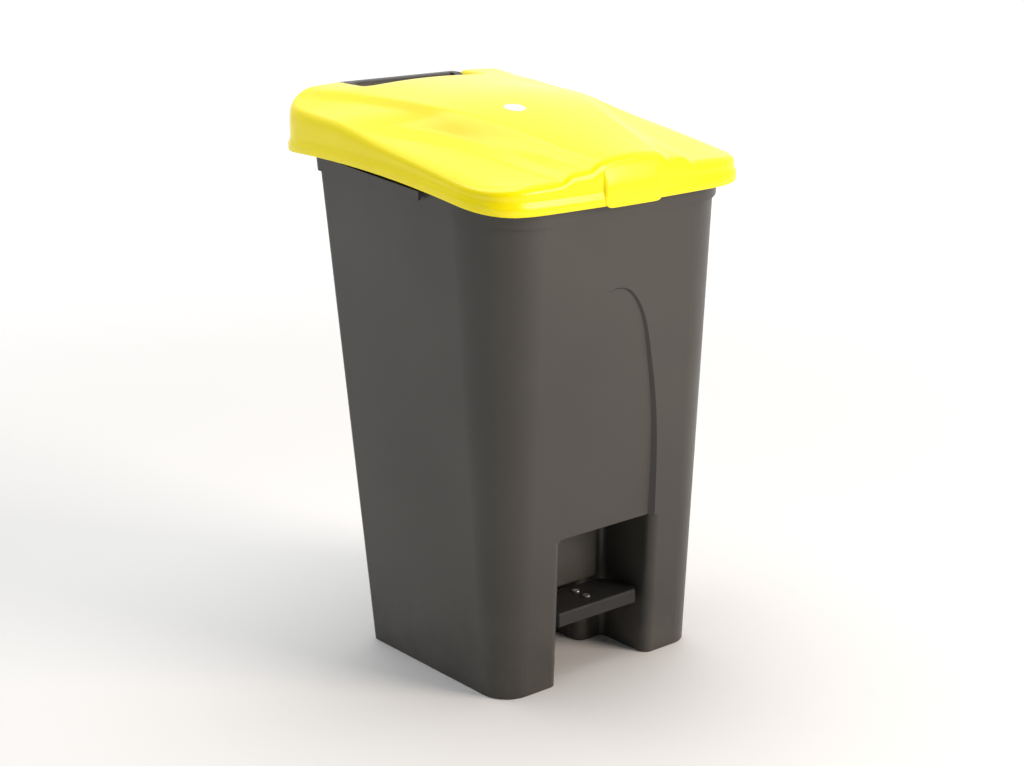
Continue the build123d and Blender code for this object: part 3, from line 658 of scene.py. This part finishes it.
def lid_plastic(grain, scuffs):
    """Glossy yellow polypropylene of the lid, with faint handling marks."""
    look = Finish("lid_plastic", (1.0, 0.84, 0.0), 0.20)
    moulded = look.group(grain, Grain_scale=1900.0, Wave_scale=7.0)
    scratch = look.group(scuffs, Amount=0.3, Low_height=5.0)["Mask"]
    cloud = spread(look.tree, moulded["Wave"], 0.3, 0.7)
    look.tint(cloud, (0.96, 0.79, 0.0), 0.6)
    look.tint(scratch, (0.66, 0.54, 0.04), 0.5)
    look.roughen(cloud, 0.05)
    look.roughen(scratch, 0.2)
    look.raise_by(moulded["Grain"], 0.000006)
    look.raise_by(moulded["Wave"], 0.0005)
    return look.finish(0.8, Specular_IOR_Level=0.35)


def small_plastic(name, colour, rough, grain, dust, depth):
    """Black moulded plastic of the pedal, guides, caps and hubs."""
    look = Finish(name, colour, rough)
    moulded = look.group(grain, Grain_scale=1700.0, Wave_scale=30.0)
    film = look.group(dust, Amount=0.5, Height=0.3)["Mask"]
    cloud = spread(look.tree, moulded["Wave"], 0.3, 0.7)
    look.tint(cloud, tuple(c * 1.5 for c in colour), 0.6)
    look.tint(film, (0.06, 0.055, 0.05), 0.3)
    look.roughen(cloud, 0.08)
    look.roughen(film, 0.2)
    look.raise_by(moulded["Grain"], depth)
    return look.finish(0.9)


def rubber(grain, dust):
    """Matt tyre rubber, grey with floor dust."""
    look = Finish("tyre_rubber", (0.020, 0.020, 0.020), 0.72)
    moulded = look.group(grain, Grain_scale=900.0, Wave_scale=40.0)
    film = look.group(dust, Amount=0.8, Height=0.12)["Mask"]
    look.tint(spread(look.tree, moulded["Wave"], 0.3, 0.7), (0.032, 0.031, 0.030), 0.7)
    look.tint(film, (0.17, 0.16, 0.14), 0.5)
    look.roughen(film, 0.15)
    look.raise_by(moulded["Grain"], 0.00003)
    return look.finish(1.0)


def zinc(grain):
    """Zinc-plated steel with a faintly mottled, drawn surface."""
    look = Finish("zinc_steel", (0.56, 0.57, 0.58), 0.32)
    moulded = look.group(grain, Grain_scale=700.0, Wave_scale=55.0)
    streak = noise(look.tree, stretched(look.tree, (900, 900, 30)), 1.0, 2.0)
    mottle = spread(look.tree, moulded["Wave"], 0.35, 0.65)
    look.tint(mottle, (0.42, 0.42, 0.43), 0.7)
    look.roughen(mottle, 0.12)
    look.roughen(spread(look.tree, streak, 0.4, 0.7), 0.08)
    look.raise_by(streak, 0.000012)
    return look.finish(0.8, Metallic=1.0)


def sticker(grain):
    """White film sticker, left blank, slightly yellowed in patches."""
    look = Finish("label_film", (0.80, 0.80, 0.78), 0.42)
    moulded = look.group(grain, Grain_scale=1200.0, Wave_scale=160.0)
    look.tint(spread(look.tree, moulded["Wave"], 0.45, 0.7), (0.70, 0.69, 0.62), 0.6)
    look.roughen(moulded["Wave"], 0.1)
    look.raise_by(moulded["Grain"], 0.000008)
    return look.finish(0.7)


def paint(piece, material):
    piece.data.materials.clear()
    piece.data.materials.append(material)


def make_looks():
    """One material for each of the record's material slots."""
    grain, scuffs, dust = grain_group(), scuff_group(), dust_group()
    return {
        "yellow_plastic": lid_plastic(grain, scuffs),
        "grey_plastic": bin_plastic(grain, scuffs, dust),
        "black_plastic": small_plastic("black_plastic", (0.008, 0.008, 0.008), 0.58, grain, dust, 0.00002),
        "zinc_steel": zinc(grain),
        "hub_plastic": small_plastic("hub_plastic", (0.03, 0.03, 0.032), 0.5, grain, dust, 0.00001),
        "tyre_rubber": rubber(grain, dust),
        "label_paper": sticker(grain),
    }


def main():
    make_camera()
    make_studio()
    # The lugs are cut from the CAD lid before it is replaced and hidden.
    lugs = [cut_copy(name, *corners) for name, corners in LUG_BOXES.items()]
    lid = make_lid()
    label = make_label(lid)
    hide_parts("lid")
    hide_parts("lid_label")
    looks = make_looks()
    for node in frame["record"]["subparts"]:
        paint(bpy.data.objects[node["node"]], looks[node["material_slot"]])
    new_pieces = [(piece, "yellow_plastic") for piece in [lid] + lugs] + [(label, "label_paper")]
    for piece, slot in new_pieces:
        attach(piece, "lid_body")
        paint(piece, looks[slot])


main()
